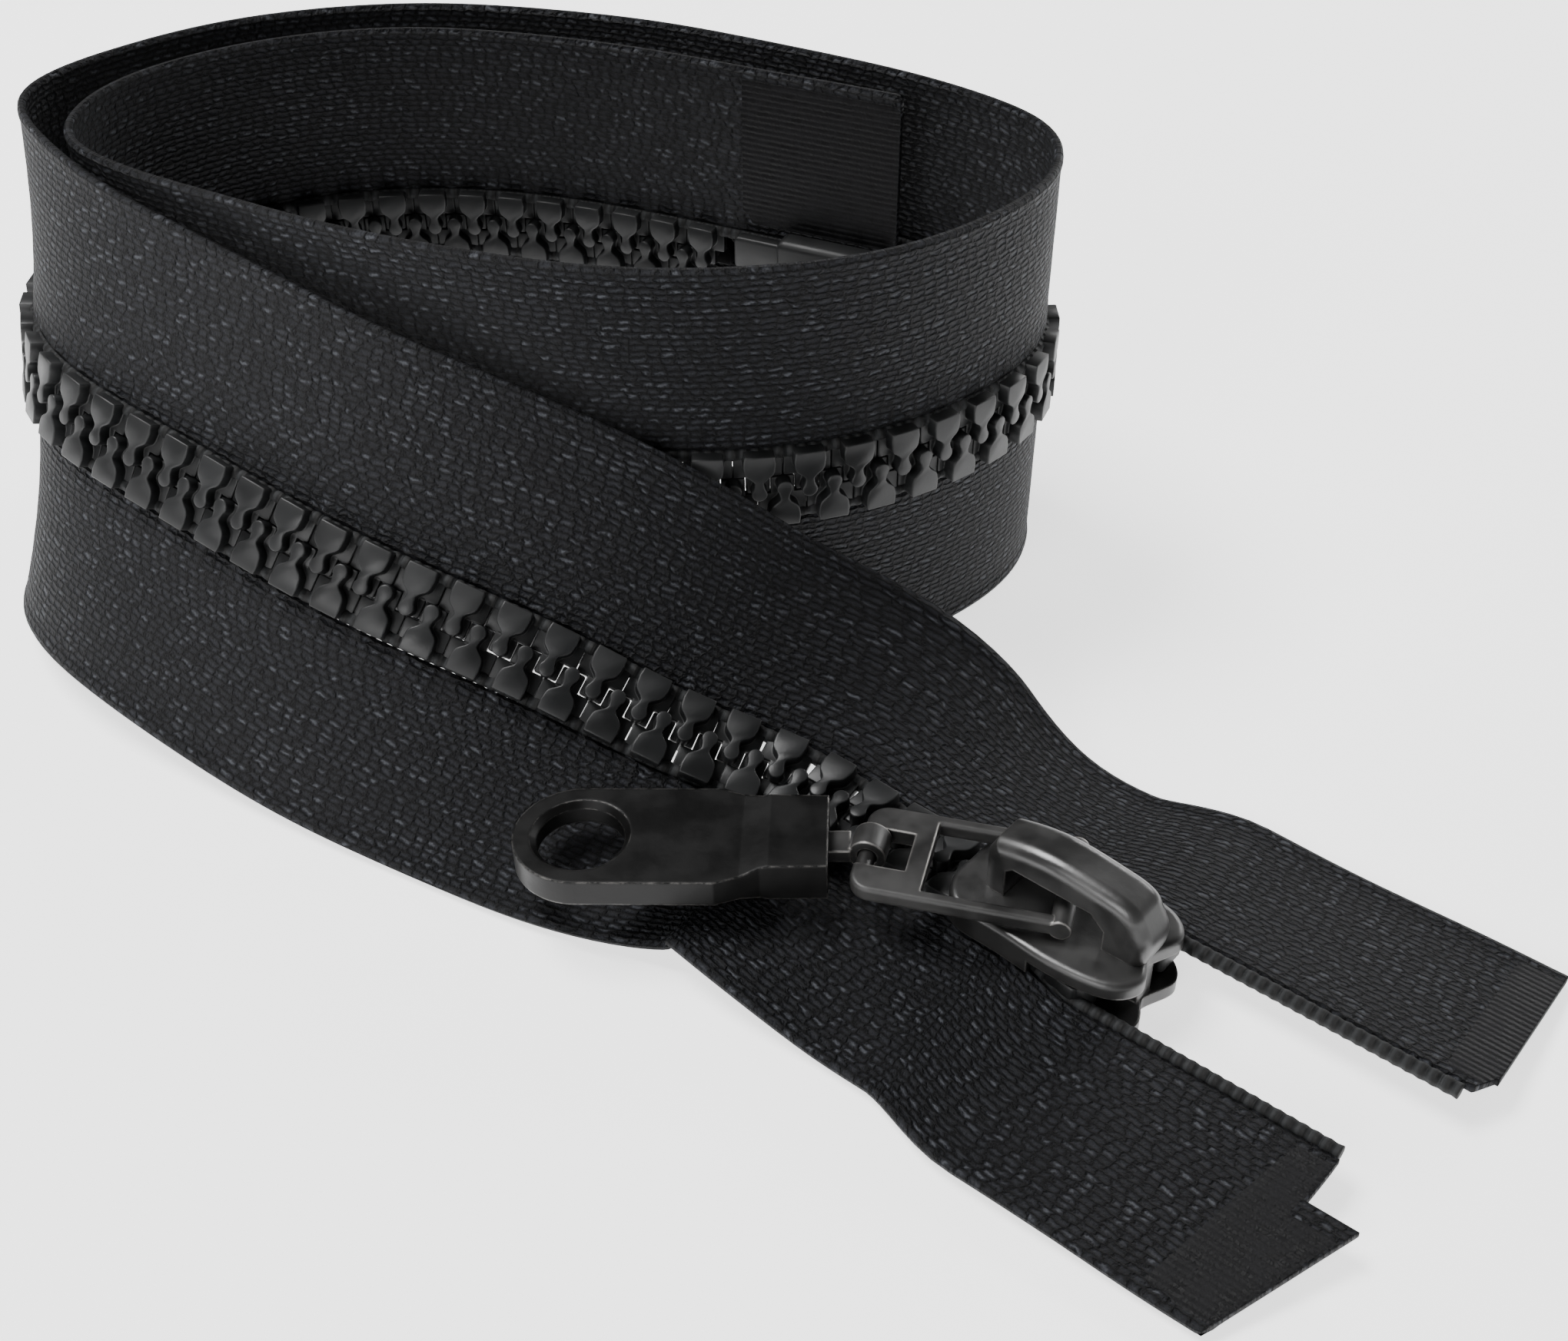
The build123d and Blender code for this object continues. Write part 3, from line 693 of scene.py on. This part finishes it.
def coated_metal(name, dark, light, worn, rough, wear, gloss=0.5):
    """Black-coated die casting with small worn spots, most of them on the edges."""
    shader = Shader(name)
    where = shader.place()
    cloud = shader.noise(where, 320.0, 4.0)
    spots = shader.noise(where, 1500.0, 3.0, 0.7)
    edge, rounded = shader.edge_wear_and_highlight(0.00025)
    patch = shader.band(shader.math("ADD", shader.math("MULTIPLY", edge, wear), spots), 0.72, 0.95)
    face = shader.mix(shader.band(cloud, 0.3, 0.7), grey(dark, 0.02), grey(light, 0.02))
    colour = shader.mix(patch, face, grey(worn, 0.04))
    bumpy = shader.bump(shader.math("ADD", cloud, shader.math("MULTIPLY", spots, 0.5)),
                        0.00004, 0.5, rounded)
    return shader.set(Base_Color=colour, Metallic=shader.band(patch, 0.0, 1.0, 0.0, 0.8),
                      Roughness=shader.band(cloud, 0.3, 0.7, rough, rough + 0.14),
                      Specular_IOR_Level=gloss, Normal=bumpy)


def spring_steel():
    shader = Shader("spring_steel")
    brushed = shader.noise(shader.place(), 2500.0, 2.0)
    return shader.set(Base_Color=shader.mix(brushed, grey(0.35), grey(0.55)), Metallic=1.0,
                      Roughness=0.35, Normal=shader.bump(brushed, 0.00001))


def table_material():
    """White, and glowing so that it stays bright under dim lights."""
    shader = Shader("table_white")
    soft = shader.noise(shader.place(), 30.0, 3.0)
    return shader.set(Base_Color=shader.mix(soft, grey(0.88), grey(0.91)), Roughness=0.8,
                      Emission_Color=(1, 1, 1, 1), Emission_Strength=1.7)


# ---------------------------------------------------------------- build
TABLE_HALF = 3.0        # metres
CAMERA_LENS = 47.65
CAMERA_AT = (4.8, -113.6, 96.3)
CAMERA_DOWN = 39        # degrees


def dress(piece, material):
    piece.data.materials.clear()
    piece.data.materials.append(material)


def build_soft_goods():
    weave, cord_look = weave_material(), cord_material()
    melted, plastic = film_material(), tooth_material()
    for side, name in NAMES.items():
        dress(tape(side), weave)
        dress(edge_cord(side), cord_look)
        dress(tooth_row(side, False), plastic)
        dress(tooth_row(side, True), plastic)
        middle, half = SLIDER_RUN + STOP_AT[side], STOP_LENGTH / 2
        dress(moulded_bar(f"top_stop_{name}", STOP_INNER, middle - half, middle + half, side), plastic)
        cut = SLIDER_RUN + END_CUT[side]
        dress(film(f"film_top_{name}", side, cut - TOP_FILM[side], cut, TAPE_INNER, f"{name}_end"),
              melted)
        dress(film(f"film_bottom_{name}", side, 0, BOTTOM_FILM, BOX_HALF + 0.2, "chain"), melted)
    dress(moulded_bar("retainer_pin", PIN_INNER, PIN_START, PIN_END, UPPER), plastic)
    dress(moulded_bar("insertion_pin", PIN_INNER, PIN_START, PIN_END, LOWER), plastic)
    dress(retainer_box(), plastic)


def build_hardware():
    """The slider and pull keep their CAD shapes."""
    black = coated_metal("black_casting", 0.007, 0.020, 0.24, 0.28, 0.40, gloss=0.85)
    worn = coated_metal("worn_link", 0.010, 0.032, 0.34, 0.32, 0.64)
    grip = coated_metal("grip_black", 0.002, 0.004, 0.14, 0.34, 0.34, gloss=0.2)
    steel = spring_steel()
    looks = {"slider_body": black, "crown": black, "pawl_spring": steel, "lock_pawl": steel,
             "pull_link": worn, "tab_hook": worn, "pull_tab": grip}
    for node, look in looks.items():
        dress(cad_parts[node], look)


def area_light(name, where, aim, size, power):
    light = bpy.data.lights.new(name, "AREA")
    light.shape = "RECTANGLE"
    light.size, light.size_y = size
    light.energy = power
    lamp = bpy.data.objects.new(name, light)
    bpy.context.collection.objects.link(lamp)
    lamp.location = where
    lamp.rotation_euler = (Vector(aim) - Vector(where)).to_track_quat("-Z", "Y").to_euler()


def soft_room():
    """Dim walls and a darker ceiling, so flat black faces stay black."""
    world = bpy.data.worlds.new("soft_room")
    world.use_nodes = True
    tree = world.node_tree
    place = tree.nodes.new("ShaderNodeTexCoord")
    split = tree.nodes.new("ShaderNodeSeparateXYZ")
    tree.links.new(place.outputs["Generated"], split.inputs[0])
    fade = tree.nodes.new("ShaderNodeMapRange")
    for socket, number in zip(list(fade.inputs)[1:5], (0.2, 0.75, 0.26, 0.07)):
        socket.default_value = number
    tree.links.new(split.outputs["Z"], fade.inputs[0])
    background = tree.nodes["Background"]
    background.inputs["Color"].default_value = (1, 1, 1, 1)
    tree.links.new(fade.outputs[0], background.inputs["Strength"])
    return world


def build_stage():
    half = TABLE_HALF
    table = mesh_object("table_top", [np.array(p) / MM for p in
                        ((-half, -half, 0), (half, -half, 0), (half, half, 0), (-half, half, 0))],
                        [(0, 1, 2, 3)])
    dress(table, table_material())
    bpy.context.scene.world = soft_room()
    area_light("key_softbox", (-0.22, 0.10, 0.50), (0, 0, 0), (0.30, 0.20), 4.2)
    area_light("rim_strip", (0.35, 0.40, 0.22), (0, 0, 0.01), (0.40, 0.06), 1.6)
    area_light("front_fill", (-0.30, -0.45, 0.30), (0, 0, 0), (0.30, 0.20), 1.8)


def build_camera():
    """Camera in front of the coil, looking down at it."""
    camera = bpy.data.cameras.new("photo_view")
    camera.lens = CAMERA_LENS
    camera.sensor_width = 36.0
    camera.clip_start = 0.005
    camera.clip_end = 20.0
    eye = bpy.data.objects.new("photo_view", camera)
    bpy.context.collection.objects.link(eye)
    eye.location = tuple(v * MM for v in CAMERA_AT)
    eye.rotation_euler = (math.radians(90 - CAMERA_DOWN), 0, 0)
    bpy.context.scene.camera = eye


build_soft_goods()
build_hardware()
build_stage()
build_camera()
